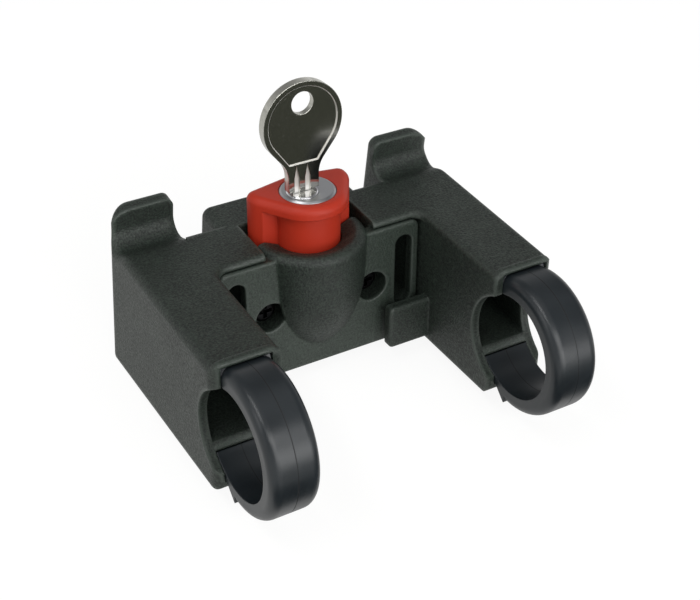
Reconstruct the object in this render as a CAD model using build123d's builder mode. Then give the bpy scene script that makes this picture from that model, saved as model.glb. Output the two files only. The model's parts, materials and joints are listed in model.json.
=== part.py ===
"""Bicycle handlebar bag mount with a lockable release button.

Millimetres. The origin is on the handlebar's axis, midway between the two clamps.
+X runs along the handlebar, +Y points forward to the bag, +Z is up.
"""
import os
from math import cos, radians, sin, tan

from build123d import *

# Handlebar and clamp bands
bar_radius = 11.9
clamp_spacing = 66.0
band_thickness = 4.0
band_width = 11.0
band_edge_radius = 2.2
band_side_clearance = 0.15
band_mouth_clearance = 0.4
band_entry_angle = 62.0
strap_thickness = 2.4
strap_ceiling_gap = 0.5
strap_bend_y = 12.0
tongue_thickness = 1.6
tongue_clearance = 0.25
tongue_taper_start = 266.0
tongue_taper_end = 281.0
tongue_tip_angle = 309.0

# Arms of the housing
arm_width = 15.2
arm_rear_y = 6.8
front_y = 59.5
top_at_bar = 15.65
top_slope = 5.9
bottom_at_bar = -15.3
bottom_slope = 7.7
lip_tip_y = 2.6
lip_tip_radius = 1.5
front_foot_radius = 4.0
front_edge_radius = 5.5
rear_edge_radius = 2.5
outer_edge_radius = 1.8
hollow_front_y = 47.0
hollow_ceiling = 2.2
hollow_floor = 2.0
rib_top_z = -7.7
rib_thickness = 1.4

# Collar round the mouth where each band goes in
collar_length = 1.9
collar_height = 0.7
collar_edge_radius = 0.5
collar_foot_z = 9.5
collar_corner_radius = 3.0

# Horns that carry the bag, and the saddles behind them
horn_top_z = 16.6
horn_thickness = 2.7
horn_outer_radius = 5.5
horn_inner_radius = 2.0
saddle_length = 7.5
saddle_depth = 3.2
saddle_radius = 3.4
saddle_brow_radius = 6.0

# Front block and the two channels beside it
block_half_width = 17.5
block_corner_radius = 2.2
block_edge_radius = 1.2
channel_back_y = 50.3
channel_floor_z = -14.0

# Axis of the button and the lock, leaning forward at the top
lean = 9.0
lock_y = 43.4
lock_z = 20.7

# Rear cover and the boss round the button
cover_setback = 6.26
cover_thickness = 2.6
cover_arm_gap = 0.5
cover_top = -11.6
cover_bottom = -41.6
cover_corner_radius = 2.0
cover_edge_radius = 0.4
lip_thickness = 1.5
lip_rear_y = 36.2
lip_inner_radius = 3.0
lip_edge_radius = 1.2
boss_top = -10.5
boss_top_radius = 13.0
boss_waist = -21.0
boss_taper = 0.5
boss_foot = -37.0
boss_foot_radius = 6.0
boss_rim_radius = 1.8
boss_dish = 1.4
boss_rim_width = 2.4
boss_well_gap = 0.4
boss_slab_gap = 0.5
boss_floor_gap = 0.1
bore_clearance = 0.3
bore_floor = -26.0
slot_centre = 21.0
slot_width = 4.5
slot_top = -14.6
slot_bottom = -33.0
slot_depth = 9.0
slot_pocket_clearance = 0.3

# Screws of the rear cover
cover_screw_x = 12.9
cover_screw_s = -25.65
cover_screw_recess_radius = 3.65
cover_screw_recess_depth = 5.0
cover_screw_floor = 1.6
cover_screw_radius = 1.5
cover_screw_length = 14.0
cover_screw_head_radius = 2.9
cover_screw_head_height = 2.1
cover_screw_cross_width = 0.9
cover_screw_cross_length = 3.4
cover_screw_cross_depth = 1.2
screw_hole_clearance = 0.2
thread_clearance = 0.03
screw_tip_gap = 0.5
socket_tube_wall = 1.6
socket_tube_clearance = 0.2

# Tabs on the arms that hold the cover's lower corners
tab_inner_x = 15.0
tab_rear = -11.0
tab_thickness = 2.4
tab_top = -30.3
tab_bottom = -41.0
tab_corner_radius = 1.0
tab_edge_radius = 0.7
tab_root = 1.0

# Release button
button_half_width = 12.2
button_front = 6.4
button_side_front = 3.0
button_round_radius = 8.7
button_corner_radius = 2.2
button_shoulder_radius = 5.0
button_top = -0.4
button_plate_thickness = 2.8
button_edge_radius = 1.7
slab_rear = 0.7
slab_bottom = -16.5
ear_width = 1.0
ear_height = 2.4
stem_radius = 7.1
stem_bottom = -14.5
button_travel = 5.0
well_side_clearance = 0.5
well_front_clearance = 0.4
well_floor_gap = 0.4
ear_stop_gap = 0.3

# Springs under the button
spring_x = 9.0
spring_v = 3.55
spring_radius = 1.6
spring_wire = 0.6
spring_turns = 5.5
spring_wire_sides = 6
spring_pocket_clearance = 0.3
spring_pocket_top = -5.5
spring_end_gap = 0.05
spring_pin_radius = 0.9
spring_pin_height = 3.0

# Lock
lock_face_radius = 6.25
lock_face_height = 0.9
lock_face_bevel = 0.5
barrel_radius = 5.8
barrel_bottom = -17.0
barrel_clearance = 0.05
plug_x = -1.7
plug_v = -0.6
plug_radius = 3.5
plug_proud = 0.35
plug_edge = 0.25
plug_bottom = -17.3
plug_clearance = 0.05
plug_tail_radius = 2.0
plug_tail_length = 1.2
clip_groove_depth = 0.3
clip_thickness = 0.8
clip_outer_radius = 6.35
clip_opening = 8.0
clip_gap = 0.05
cam_thickness = 1.0
cam_eye_radius = 2.9
cam_reach = 4.4
cam_width = 3.4
cam_gap = 0.05
cam_room_radius = 6.6
cam_screw_radius = 1.0
cam_screw_head_radius = 1.8
cam_screw_head_height = 1.1
cam_screw_length = 3.0
wafer_count = 5
wafer_first = -3.6
wafer_pitch = 2.4
wafer_thickness = 0.7
wafer_length = 6.0
wafer_width = 3.4
wafer_clearance = 0.08

# Key
key_thickness = 2.0
key_bow_radius = 9.3
key_bow_centre = 16.7
key_neck_s = 6.2
key_neck_radius = 6.0
key_shank_half_width = 3.6
key_shank_end = 0.9
key_hole_radius = 2.55
key_hole_s = 21.1
key_panel_margin = 1.15
key_panel_depth = 0.3
key_panel_bottom = 7.4
key_panel_half_width = 3.4
key_groove_width = 1.2
key_groove_x = 1.3
key_groove_shift = -0.4
key_groove_floor = 0.6
key_groove_shoulder = 4.0
key_groove_point = 7.0
blade_half_width = 2.5
blade_thickness = 1.5
blade_tip = -14.4
blade_tip_chamfer = 1.2
keyway_clearance = 0.08
keyway_end_gap = 0.3

# Clamp screws, washers and nuts
clamp_screw_z = 1.5
clamp_screw_radius = 2.5
clamp_screw_length = 34.0
clamp_head_radius = 4.25
clamp_head_height = 5.0
clamp_head_edge_radius = 0.5
clamp_socket_radius = 2.3
clamp_socket_depth = 2.6
washer_radius = 4.6
washer_thickness = 1.0
counterbore_radius = 5.0
counterbore_floor_y = 52.0
screw_clearance = 0.3
nut_across_flats = 8.0
nut_thickness = 4.0
nut_clearance = 0.1
nut_wall = 2.4
lug_front_y = 34.0
lug_rear_y = 24.5
lug_bottom_z = -3.8

# Places that follow from the sizes above
clamp_x = clamp_spacing / 2
arm_inner_x = clamp_x - arm_width / 2
arm_outer_x = clamp_x + arm_width / 2
hollow_width = band_width + 2 * band_side_clearance
ring_radius = bar_radius + band_thickness
mouth_radius = ring_radius + band_mouth_clearance
tongue_radius = bar_radius + tongue_thickness
tongue_seat_radius = tongue_radius + tongue_clearance
horn_back_y = front_y - horn_thickness
cover_back = -cover_setback
cover_front = cover_back + cover_thickness
cover_half_width = arm_inner_x - cover_arm_gap
button_bottom = button_top - button_plate_thickness
well_half_width = boss_top_radius + boss_well_gap
well_front = stem_radius + well_front_clearance
well_floor = slab_bottom - button_travel - well_floor_gap
ear_half_width = well_half_width + ear_width
ear_top = slab_bottom + ear_height
bore_radius = stem_radius + bore_clearance
boss_front = slab_rear - boss_slab_gap
boss_waist_radius = boss_top_radius - boss_taper
boss_dish_radius = boss_top_radius - boss_rim_width
spring_pocket_radius = spring_radius + spring_wire / 2 + spring_pocket_clearance
recess_floor = cover_back + cover_screw_recess_depth
socket_tube_radius = cover_screw_recess_radius + socket_tube_wall
socket_tube_end = recess_floor + cover_screw_floor
cover_screw_spots = [(-cover_screw_x, cover_screw_s), (cover_screw_x, cover_screw_s)]
slot_run = slot_top - slot_bottom - slot_width
slot_middle = (slot_top + slot_bottom) / 2
slot_spots = [(-slot_centre, slot_middle), (slot_centre, slot_middle)]
spring_spots = [(-spring_x, spring_v), (spring_x, spring_v)]
clamp_screw_spots = [(-clamp_x, clamp_screw_z), (clamp_x, clamp_screw_z)]
screw_hole_radius = clamp_screw_radius + screw_clearance
plug_tail_end = plug_bottom - plug_tail_length
nut_front_y = lug_front_y - nut_wall - nut_clearance

lock = Plane(
    origin=(0, lock_y, lock_z),
    x_dir=(1, 0, 0),
    z_dir=(0, sin(radians(lean)), cos(radians(lean))),
)
plug = Plane(lock.from_local_coords((plug_x, plug_v, 0)), lock.x_dir, lock.z_dir)
key_side = Plane(plug.origin, lock.x_dir, -lock.y_dir)
lock_axis = Axis(lock.origin, lock.z_dir)


def level(height):
    """Plane across the lock's axis, at a height above the lock's face."""
    return lock.offset(height)


def upright(depth):
    """Plane along the lock's axis, facing the rider, at a depth in front of that axis."""
    return Plane(lock.from_local_coords((0, depth, 0)), lock.x_dir, -lock.y_dir)


def at_depth(y):
    """Plane across the direction of travel, facing the rider."""
    return Plane.XZ.offset(-y)


def top_z(y):
    """Height of the housing's sloping top."""
    return top_at_bar - y * tan(radians(top_slope))


def bottom_z(y):
    """Height of the housing's sloping underside."""
    return bottom_at_bar - y * tan(radians(bottom_slope))


def on_circle(radius, angle):
    """Point of the side view at an angle from straight ahead, turning up and over to the rear."""
    return (radius * cos(radians(angle)), radius * sin(radians(angle)))


os.makedirs("parts", exist_ok=True)


def save(piece, name):
    """Labels a finished piece and writes its file."""
    piece.label = name
    export_step(piece, f"parts/{name}.step")


# Main housing
saddle_start_y = horn_back_y - saddle_length
saddle_foot_z = top_z(horn_back_y) - saddle_depth
rib_bottom_z = rib_top_z - rib_thickness
seat_foot = lock.from_local_coords((0, cover_front, cover_bottom))
lip_under_z = top_z(lip_rear_y) - lip_thickness
rear_run = arm_rear_y - lip_tip_y
rear_rise = top_z(arm_rear_y) - bottom_z(lip_tip_y)
collar_top_z = top_z(arm_rear_y) + collar_height


def seat_y(z):
    """Depth of the sloping face that the rear cover lies against."""
    return seat_foot.Y + (z - seat_foot.Z) * tan(radians(lean))


# Collar round the mouth of an arm, which belongs to the housing
with BuildPart() as collar:
    with BuildSketch(at_depth(arm_rear_y)):
        with Locations((clamp_x, collar_top_z)):
            RectangleRounded(
                arm_width,
                collar_top_z - collar_foot_z,
                collar_corner_radius,
                align=(Align.CENTER, Align.MAX),
            )
    extrude(amount=-collar_length)
    fillet(collar.faces().filter_by(Axis.Y).edges(), collar_edge_radius)

with BuildPart() as main_housing:
    # Arm with its horn, seen from the side
    with BuildSketch(Plane.YZ.offset(arm_inner_x)) as arm_profile:
        with BuildLine():
            Polyline(
                (lip_tip_y, bottom_z(lip_tip_y)),
                (arm_rear_y, top_z(arm_rear_y)),
                (saddle_start_y, top_z(saddle_start_y)),
                (horn_back_y, saddle_foot_z),
                (horn_back_y, horn_top_z),
                (front_y, horn_top_z),
                (front_y, bottom_z(front_y)),
                close=True,
            )
        make_face()
        for corner, corner_radius in (
            ((saddle_start_y, top_z(saddle_start_y)), saddle_brow_radius),
            ((horn_back_y, saddle_foot_z), saddle_radius),
            ((front_y, bottom_z(front_y)), front_foot_radius),
            ((lip_tip_y, bottom_z(lip_tip_y)), lip_tip_radius),
        ):
            fillet(arm_profile.vertices().sort_by_distance(corner)[0], corner_radius)
    extrude(amount=arm_width)
    # Rounding along the arm's outer top edge, through the saddle and up the horn
    upper_edges = main_housing.faces().sort_by(Axis.X)[-1].edges().filter_by_position(
        Axis.Y, arm_rear_y, horn_back_y
    )
    outer_top_edges = upper_edges.filter_by_position(Axis.Z, 0, horn_top_z)
    fillet(outer_top_edges, outer_edge_radius)
    # Corners of the horn, seen from the front
    with BuildSketch(at_depth(front_y)):
        with Locations((arm_outer_x, horn_top_z)):
            Rectangle(2 * horn_outer_radius, 2 * horn_outer_radius)
        with Locations((arm_outer_x - horn_outer_radius, horn_top_z - horn_outer_radius)):
            Circle(horn_outer_radius, mode=Mode.SUBTRACT)
        with Locations((arm_inner_x, horn_top_z)):
            Rectangle(2 * horn_inner_radius, 2 * horn_inner_radius)
        with Locations((arm_inner_x + horn_inner_radius, horn_top_z - horn_inner_radius)):
            Circle(horn_inner_radius, mode=Mode.SUBTRACT)
    extrude(amount=horn_thickness, mode=Mode.SUBTRACT)
    # Rounding of the outer front corner, from the foot to the top of the horn
    with BuildSketch(Plane.XY.offset(bottom_z(front_y))):
        with Locations((arm_outer_x, front_y)):
            Rectangle(2 * front_edge_radius, 2 * front_edge_radius)
        with Locations((arm_outer_x - front_edge_radius, front_y - front_edge_radius)):
            Circle(front_edge_radius, mode=Mode.SUBTRACT)
    extrude(amount=horn_top_z - bottom_z(front_y), mode=Mode.SUBTRACT)
    # Rounding of the outer rear corner, from the lip to the collar
    add(collar.part)
    lip_corner = (arm_outer_x, lip_tip_y, bottom_z(lip_tip_y))
    with BuildSketch(Plane(lip_corner, x_dir=(-1, 0, 0), z_dir=(0, rear_run, rear_rise))):
        Rectangle(2 * rear_edge_radius, 2 * rear_edge_radius)
        with Locations((rear_edge_radius, -rear_edge_radius)):
            Circle(rear_edge_radius, mode=Mode.SUBTRACT)
    extrude(amount=rear_rise + collar_height, mode=Mode.SUBTRACT)
    mirror(about=Plane.YZ)

    # Middle between the arms, with the cover's seat and the lip above it
    with BuildSketch(Plane.YZ) as middle_profile:
        with BuildLine():
            Polyline(
                (seat_y(bottom_z(seat_foot.Y)), bottom_z(seat_foot.Y)),
                (seat_y(lip_under_z), lip_under_z),
                (lip_rear_y, lip_under_z),
                (lip_rear_y, top_z(lip_rear_y)),
                (front_y, top_z(front_y)),
                (front_y, bottom_z(front_y)),
                close=True,
            )
        make_face()
        front_foot = (front_y, bottom_z(front_y))
        fillet(middle_profile.vertices().sort_by_distance(front_foot)[0], front_foot_radius)
    extrude(amount=arm_inner_x, both=True)
    inner_corners = main_housing.edges().filter_by(Axis.Z).filter_by_position(
        Axis.Y, lip_rear_y - 0.01, lip_rear_y + 0.01
    )
    fillet(inner_corners, lip_inner_radius)
    lip_top = main_housing.edges().sort_by_distance((0, lip_rear_y, top_z(lip_rear_y)))[0]
    fillet(lip_top, lip_edge_radius)

    # Channels that leave the block standing at the front
    channel_width = arm_inner_x - block_half_width
    channel_x = block_half_width + channel_width / 2
    with BuildSketch(Plane.XY.offset(channel_floor_z)):
        with Locations((-channel_x, channel_back_y), (channel_x, channel_back_y)):
            Rectangle(channel_width, front_y - channel_back_y, align=(Align.CENTER, Align.MIN))
    extrude(amount=horn_top_z - channel_floor_z, mode=Mode.SUBTRACT)
    block_y = (channel_back_y + front_y) / 2
    for side in (-1, 1):
        corner = (side * block_half_width, block_y, top_z(block_y))
        fillet(main_housing.edges().sort_by_distance(corner)[0], block_corner_radius)
    block_front = main_housing.edges().sort_by_distance((0, front_y, top_z(front_y)))[0]
    fillet(block_front, block_edge_radius)

    # Seat for the handlebar, mouth for the band and seat for its tongue
    for x in (-clamp_x, clamp_x):
        with BuildSketch(Plane.YZ.offset(x)):
            Circle(bar_radius)
        extrude(amount=arm_width, both=True, mode=Mode.SUBTRACT)
        with BuildSketch(Plane.YZ.offset(x)):
            with BuildSketch(mode=Mode.PRIVATE) as tongue_seat:
                Circle(tongue_seat_radius)
                with Locations((0, rib_bottom_z)):
                    Rectangle(
                        2 * tongue_seat_radius,
                        2 * tongue_seat_radius,
                        align=(Align.CENTER, Align.MIN),
                        mode=Mode.SUBTRACT,
                    )
            add(tongue_seat.sketch)
            with BuildSketch(mode=Mode.PRIVATE) as upper_half:
                Circle(mouth_radius)
                Rectangle(
                    2 * mouth_radius,
                    mouth_radius,
                    align=(Align.CENTER, Align.MAX),
                    mode=Mode.SUBTRACT,
                )
            add(upper_half.sketch)
            # Room for the strap above the rib, and the space below it
            with BuildLine():
                Polyline(
                    (0, rib_top_z),
                    (0, top_z(0) - hollow_ceiling),
                    (hollow_front_y, top_z(hollow_front_y) - hollow_ceiling),
                    (hollow_front_y, rib_top_z),
                    close=True,
                )
            make_face()
            with BuildLine():
                Polyline(
                    (0, rib_bottom_z),
                    (0, bottom_z(0) + hollow_floor),
                    (hollow_front_y, bottom_z(hollow_front_y) + hollow_floor),
                    (hollow_front_y, rib_bottom_z),
                    close=True,
                )
            make_face()
        extrude(amount=hollow_width / 2, both=True, mode=Mode.SUBTRACT)

    # Holes for the clamp screws, from the front
    with BuildSketch(at_depth(front_y)):
        with Locations(*clamp_screw_spots):
            Circle(counterbore_radius)
    extrude(amount=front_y - counterbore_floor_y, mode=Mode.SUBTRACT)
    with BuildSketch(at_depth(front_y)):
        with Locations(*clamp_screw_spots):
            Circle(screw_hole_radius)
    extrude(amount=front_y - hollow_front_y, mode=Mode.SUBTRACT)

    # Well for the button, open at the top and towards the cover
    well_depth = well_front - tab_rear
    with BuildSketch(level(well_floor)):
        with Locations((0, well_front)):
            Rectangle(2 * well_half_width, well_depth, align=(Align.CENTER, Align.MAX))
    extrude(amount=-well_floor, mode=Mode.SUBTRACT)
    with BuildSketch(level(well_floor)):
        with Locations((0, well_front)):
            Rectangle(
                2 * (ear_half_width + well_side_clearance),
                well_depth,
                align=(Align.CENTER, Align.MAX),
            )
    extrude(amount=ear_top + ear_stop_gap - well_floor, mode=Mode.SUBTRACT)
    with BuildSketch(level(bore_floor)):
        Circle(bore_radius)
    extrude(amount=well_floor - bore_floor, mode=Mode.SUBTRACT)
    with BuildSketch(level(well_floor)):
        with Locations(*spring_spots):
            Circle(spring_pin_radius)
    extrude(amount=spring_pin_height)

    # Pockets behind the cover for its slots, socket tubes and screws
    with BuildSketch(upright(cover_front)):
        with Locations(*slot_spots):
            SlotCenterToCenter(slot_run, slot_width + 2 * slot_pocket_clearance, rotation=90)
    extrude(amount=-slot_depth, mode=Mode.SUBTRACT)
    with BuildSketch(upright(cover_front)):
        with Locations(*cover_screw_spots):
            Circle(socket_tube_radius + socket_tube_clearance)
    extrude(amount=cover_front - socket_tube_end - socket_tube_clearance, mode=Mode.SUBTRACT)
    with BuildSketch(upright(recess_floor)):
        with Locations(*cover_screw_spots):
            Circle(cover_screw_radius + thread_clearance)
    extrude(amount=-cover_screw_length - screw_tip_gap, mode=Mode.SUBTRACT)

    # Tabs at the foot of the arms
    tab_width = arm_inner_x + tab_root - tab_inner_x
    tab_x = tab_inner_x + tab_width / 2
    with BuildSketch(upright(tab_rear)):
        with Locations((-tab_x, tab_bottom), (tab_x, tab_bottom)):
            RectangleRounded(
                tab_width,
                tab_top - tab_bottom,
                tab_corner_radius,
                align=(Align.CENTER, Align.MIN),
            )
    extrude(amount=-tab_thickness)
    tab_faces = main_housing.faces().filter_by(upright(0)).sort_by(Axis(lock.origin, lock.y_dir))[:2]
    fillet(tab_faces.edges().filter_by(Axis.X), tab_edge_radius)
save(main_housing.part, "main_housing")

# Rear cover with its boss
with BuildPart() as rear_cover:
    with BuildSketch(upright(cover_back)) as plate:
        with Locations((0, cover_bottom)):
            Rectangle(
                2 * cover_half_width,
                cover_top - cover_bottom,
                align=(Align.CENTER, Align.MIN),
            )
        fillet(plate.vertices().group_by(Axis.Y)[-1], cover_corner_radius)
    extrude(amount=-cover_thickness)
    plate_back = rear_cover.faces().filter_by(upright(0)).sort_by(Axis(lock.origin, lock.y_dir))[0]
    fillet(plate_back.edges(), cover_edge_radius)

    # Boss turned about the lock's axis, with a rounded nose below
    with BuildSketch(upright(0)) as boss_profile:
        with BuildLine():
            boss_side = Line((boss_top_radius, boss_top), (boss_waist_radius, boss_waist))
            boss_nose = TangentArc(
                boss_side @ 1,
                (boss_foot_radius, boss_foot),
                tangent=boss_side % 1,
            )
            Polyline(boss_nose @ 1, (0, boss_foot), (0, boss_top), boss_side @ 0)
        make_face()
        fillet(boss_profile.vertices().sort_by(Axis.X)[-1], boss_rim_radius)
    revolve(axis=lock_axis)
    boss_room = 2 * boss_top_radius
    with BuildSketch(level(boss_foot)):
        with Locations((0, cover_front)):
            Rectangle(boss_room, boss_room, align=(Align.CENTER, Align.MIN))
    extrude(amount=well_floor + boss_floor_gap - boss_foot, mode=Mode.SUBTRACT)
    with BuildSketch(level(well_floor)):
        with Locations((0, boss_front)):
            Rectangle(boss_room, boss_room, align=(Align.CENTER, Align.MIN))
    extrude(amount=boss_top - well_floor, mode=Mode.SUBTRACT)

    # Socket tubes for the screws
    with BuildSketch(upright(cover_front)):
        with Locations(*cover_screw_spots):
            Circle(socket_tube_radius)
    extrude(amount=cover_front - socket_tube_end)
    with BuildSketch(upright(cover_back)):
        with Locations(*cover_screw_spots):
            Circle(cover_screw_recess_radius)
    extrude(amount=-cover_screw_recess_depth, mode=Mode.SUBTRACT)
    with BuildSketch(upright(recess_floor)):
        with Locations(*cover_screw_spots):
            Circle(cover_screw_radius + screw_hole_clearance)
    extrude(amount=-cover_screw_floor, mode=Mode.SUBTRACT)

    # Bore for the button's stem, dished at the top
    with BuildSketch(level(bore_floor)):
        Circle(bore_radius)
    extrude(amount=boss_top - bore_floor, mode=Mode.SUBTRACT)
    with BuildSketch(upright(0)):
        with BuildLine():
            Polyline(
                (0, boss_top),
                (boss_dish_radius, boss_top),
                (bore_radius, boss_top - boss_dish),
                (0, boss_top - boss_dish),
                close=True,
            )
        make_face()
    revolve(axis=lock_axis, mode=Mode.SUBTRACT)

    # Slots beside the arms
    with BuildSketch(upright(cover_back)):
        with Locations(*slot_spots):
            SlotCenterToCenter(slot_run, slot_width, rotation=90)
    extrude(amount=-cover_thickness, mode=Mode.SUBTRACT)
save(rear_cover.part, "rear_cover")

# Screws that hold the rear cover
with BuildPart() as cover_screws:
    with BuildSketch(upright(recess_floor)):
        with Locations(*cover_screw_spots):
            Circle(cover_screw_radius)
    extrude(amount=-cover_screw_length)
    with BuildSketch(upright(recess_floor)):
        with Locations(*cover_screw_spots):
            Circle(cover_screw_head_radius)
    extrude(amount=cover_screw_head_height)
    head_rims = cover_screws.edges().filter_by(GeomType.CIRCLE).group_by(Axis(lock.origin, lock.y_dir))[0]
    fillet(head_rims, cover_screw_head_height / 2)
    with BuildSketch(upright(recess_floor - cover_screw_head_height)):
        with Locations(*cover_screw_spots):
            Rectangle(cover_screw_cross_length, cover_screw_cross_width)
            Rectangle(cover_screw_cross_width, cover_screw_cross_length)
    extrude(amount=-cover_screw_cross_depth, mode=Mode.SUBTRACT)
save(cover_screws.part, "cover_screws")

# Release button
with BuildPart() as release_button:
    with BuildSketch(level(button_bottom)) as button_outline:
        Circle(button_round_radius)
        with Locations((0, button_side_front)):
            Rectangle(
                2 * button_half_width,
                button_front - button_side_front,
                align=(Align.CENTER, Align.MIN),
            )
        make_hull()
        for side in (-button_half_width, button_half_width):
            front_corner = button_outline.vertices().sort_by_distance((side, button_front))[0]
            fillet(front_corner, button_corner_radius)
            shoulder = button_outline.vertices().sort_by_distance((side, button_side_front))[0]
            fillet(shoulder, button_shoulder_radius)
    extrude(amount=button_plate_thickness)
    fillet(release_button.faces().sort_by(lock_axis)[-1].edges(), button_edge_radius)

    # Slab that slides in the well, with the ears that stop it
    with BuildSketch(level(slab_bottom)):
        add(button_outline.sketch_local)
        with Locations((0, slab_rear)):
            Rectangle(
                2 * button_half_width,
                slab_rear + button_round_radius,
                align=(Align.CENTER, Align.MAX),
                mode=Mode.SUBTRACT,
            )
        with Locations((0, button_front)):
            Rectangle(
                2 * button_half_width,
                button_round_radius,
                align=(Align.CENTER, Align.MIN),
                mode=Mode.SUBTRACT,
            )
    extrude(amount=button_bottom - slab_bottom)
    with BuildSketch(level(slab_bottom)):
        with Locations((0, slab_rear)):
            Rectangle(
                2 * ear_half_width,
                button_front - button_corner_radius - slab_rear,
                align=(Align.CENTER, Align.MIN),
            )
    extrude(amount=ear_height)
    with BuildSketch(level(stem_bottom)):
        Circle(stem_radius)
    extrude(amount=button_bottom - stem_bottom)

    # Seats for the lock, its cam and the springs
    with BuildSketch(level(button_top)):
        Circle(lock_face_radius + barrel_clearance)
    extrude(amount=-lock_face_height - button_top, mode=Mode.SUBTRACT)
    with BuildSketch(level(slab_bottom)):
        Circle(barrel_radius + barrel_clearance)
    extrude(amount=button_top - slab_bottom, mode=Mode.SUBTRACT)
    with BuildSketch(level(slab_bottom)):
        Circle(cam_room_radius)
    extrude(amount=stem_bottom - slab_bottom, mode=Mode.SUBTRACT)
    with BuildSketch(level(slab_bottom)):
        with Locations(*spring_spots):
            Circle(spring_pocket_radius)
    extrude(amount=spring_pocket_top - slab_bottom, mode=Mode.SUBTRACT)
save(release_button.part, "release_button")

# Springs that lift the button
spring_foot = well_floor + spring_end_gap + spring_wire / 2
spring_height = spring_pocket_top - spring_end_gap - spring_wire / 2 - spring_foot
with BuildPart() as button_springs:
    for spring_place in spring_spots:
        with BuildLine():
            coil = Helix(
                pitch=spring_height / spring_turns,
                height=spring_height,
                radius=spring_radius,
                center=lock.from_local_coords((*spring_place, spring_foot)),
                direction=lock.z_dir,
            )
        # The wire has flats instead of a round section, which keeps the coil simple
        with BuildSketch(Plane(coil @ 0, z_dir=coil % 0)):
            RegularPolygon(spring_wire / 2, spring_wire_sides)
        sweep(path=coil, is_frenet=True)
save(button_springs.part, "button_springs")

# Lock barrel with its face
clip_top = stem_bottom - clip_gap
clip_bottom = clip_top - clip_thickness
clip_inner_radius = barrel_radius - clip_groove_depth
with BuildPart() as lock_barrel:
    with BuildSketch(lock):
        Circle(lock_face_radius)
    extrude(amount=-lock_face_height)
    chamfer(lock_barrel.edges().sort_by(lock_axis)[-1], lock_face_bevel)
    with BuildSketch(level(barrel_bottom)):
        Circle(barrel_radius)
    extrude(amount=-lock_face_height - barrel_bottom)
    with BuildSketch(level(clip_bottom - clip_gap)):
        Circle(barrel_radius)
        Circle(clip_inner_radius, mode=Mode.SUBTRACT)
    extrude(amount=clip_thickness + 2 * clip_gap, mode=Mode.SUBTRACT)
    with BuildSketch(plug):
        Circle(plug_radius + plug_clearance)
    extrude(amount=barrel_bottom, mode=Mode.SUBTRACT)
save(lock_barrel.part, "lock_barrel")

# Clip that keeps the barrel in the button
with BuildPart() as lock_clip:
    with BuildSketch(level(clip_bottom)):
        Circle(clip_outer_radius)
        Circle(clip_inner_radius + plug_clearance, mode=Mode.SUBTRACT)
        Rectangle(
            clip_opening,
            clip_outer_radius,
            align=(Align.CENTER, Align.MIN),
            mode=Mode.SUBTRACT,
        )
    extrude(amount=clip_thickness)
save(lock_clip.part, "lock_clip")

# Plug that the key turns
wafer_heights = [wafer_first - wafer_pitch * number for number in range(wafer_count)]
keyway_width = 2 * (blade_half_width + keyway_clearance)
keyway_thickness = blade_thickness + 2 * keyway_clearance
with BuildPart() as lock_plug:
    with BuildSketch(plug.offset(plug_bottom)):
        Circle(plug_radius)
    extrude(amount=plug_proud - plug_bottom)
    chamfer(lock_plug.edges().sort_by(lock_axis)[-1], plug_edge)
    with BuildSketch(plug.offset(plug_tail_end)):
        Circle(plug_tail_radius)
    extrude(amount=plug_tail_length)
    with BuildSketch(plug.offset(plug_proud)):
        Rectangle(keyway_width, keyway_thickness)
    extrude(amount=blade_tip - keyway_end_gap - plug_proud, mode=Mode.SUBTRACT)
    for wafer_height in wafer_heights:
        with BuildSketch(plug.offset(wafer_height + wafer_clearance)):
            Rectangle(2 * plug_radius, wafer_width + 2 * wafer_clearance)
        extrude(amount=-wafer_thickness - 2 * wafer_clearance, mode=Mode.SUBTRACT)
    with BuildSketch(plug.offset(plug_tail_end)):
        Circle(cam_screw_radius + thread_clearance)
    extrude(amount=cam_screw_length + keyway_clearance, mode=Mode.SUBTRACT)
save(lock_plug.part, "lock_plug")

# Wafers in the plug
with BuildPart() as lock_wafers:
    for wafer_height in wafer_heights:
        with BuildSketch(plug.offset(wafer_height)):
            Rectangle(wafer_length, wafer_width)
            Rectangle(keyway_width, keyway_thickness, mode=Mode.SUBTRACT)
        extrude(amount=-wafer_thickness)
save(lock_wafers.part, "lock_wafers")

# Cam at the foot of the plug
with BuildPart() as lock_cam:
    with BuildSketch(plug.offset(plug_bottom - cam_gap)):
        Circle(cam_eye_radius)
        Rectangle(cam_reach, cam_width, align=(Align.MIN, Align.CENTER))
        Circle(plug_tail_radius + plug_clearance, mode=Mode.SUBTRACT)
    extrude(amount=-cam_thickness)
save(lock_cam.part, "lock_cam")

# Screw that holds the cam
with BuildPart() as cam_screw:
    with BuildSketch(plug.offset(plug_tail_end)):
        Circle(cam_screw_radius)
    extrude(amount=cam_screw_length)
    with BuildSketch(plug.offset(plug_tail_end)):
        Circle(cam_screw_head_radius)
    extrude(amount=-cam_screw_head_height)
save(cam_screw.part, "cam_screw")

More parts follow.
